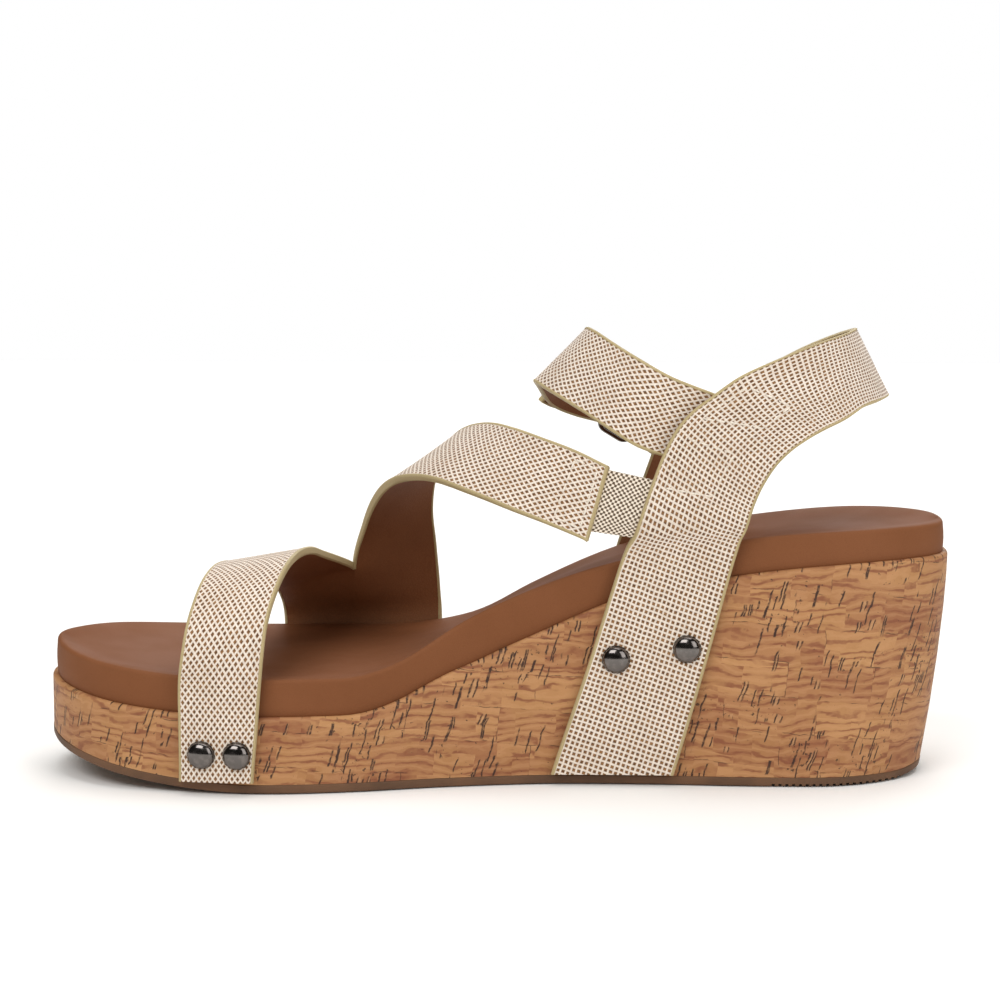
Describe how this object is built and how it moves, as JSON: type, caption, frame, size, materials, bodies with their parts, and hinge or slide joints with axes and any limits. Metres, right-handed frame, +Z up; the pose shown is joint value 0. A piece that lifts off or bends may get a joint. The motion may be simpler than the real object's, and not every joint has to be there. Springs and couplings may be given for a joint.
{
  "type": "wedge sandal",
  "caption": "Cork-covered wedge sandal with a Y-shaped vamp, slingback quarters and an ankle strap that closes through a ring with hook and loop.",
  "frame": {"origin": "middle of the smooth waist of the outsole, on the ground", "axes": "+X from toe to heel, +Y to the outer (lateral) side, +Z up"},
  "size_m": [0.2438, 0.1005, 0.1196],
  "materials": {
    "outsole_rubber": "matt brown rubber",
    "core_foam": "light moulded core",
    "cork": "natural cork sheet, matt",
    "fibre_board": "pressed fibre board",
    "footbed_foam": "soft open foam",
    "footbed_leather": "smooth brown synthetic leather, satin",
    "woven_fabric": "cream open weave over brown, bound edge",
    "lining_leather": "brown lining leather, satin",
    "elastic": "checked elastic",
    "gunmetal": "dark polished gunmetal plate",
    "hook_tape": "hook tape",
    "loop_tape": "loop tape"
  },
  "bodies": {
    "shoe": {"outsole": "outsole_rubber", "wedge_core": "core_foam", "cork_wrap": "cork", "insole_board": "fibre_board", "footbed_foam": "footbed_foam", "footbed_cover": "footbed_leather", "toe_strap_outer": "woven_fabric", "toe_strap_lining": "lining_leather", "vamp_base_outer": "woven_fabric", "vamp_base_lining": "lining_leather", "elastic_gore": "elastic", "medial_quarter_outer": "woven_fabric", "medial_quarter_lining": "lining_leather", "lateral_quarter_outer": "woven_fabric", "lateral_quarter_lining": "lining_leather", "ankle_strap_outer": "woven_fabric", "ankle_strap_lining": "lining_leather", "ring_keeper": "woven_fabric", "loop_patch": "loop_tape", "rivet_toe_medial_1": "gunmetal", "rivet_toe_medial_2": "gunmetal", "rivet_quarter_medial_1": "gunmetal", "rivet_quarter_medial_2": "gunmetal", "rivet_toe_lateral_1": "gunmetal", "rivet_toe_lateral_2": "gunmetal", "rivet_vamp_lateral_1": "gunmetal", "rivet_vamp_lateral_2": "gunmetal", "rivet_quarter_lateral_1": "gunmetal", "rivet_quarter_lateral_2": "gunmetal"},
    "instep": {"instep_strap_outer": "woven_fabric", "instep_strap_lining": "lining_leather"},
    "ring": {"closure_ring": "gunmetal"},
    "tab": {"closure_tab": "woven_fabric", "hook_patch": "hook_tape"}
  },
  "joints": [
    {"name": "instep_lift", "type": "hinge", "parent": "shoe", "child": "instep", "pos_m": [-0.0306, 0.0461, 0.033], "axis": [-1, 0, 0], "range_deg": [0, 4], "stiffness_Nm_per_rad": 0.05, "deforming": ["elastic_gore"]},
    {"name": "ring_swing", "type": "hinge", "parent": "shoe", "child": "ring", "pos_m": [0.0404, 0.03785, 0.09273], "axis": [-0.541, 0, -0.841], "range_deg": [0, 12]},
    {"name": "tab_peel", "type": "hinge", "parent": "ring", "child": "tab", "pos_m": [0.0323, 0.03515, 0.09794], "axis": [-0.541, 0, -0.841], "range_deg": [0, 110]}
  ]
}
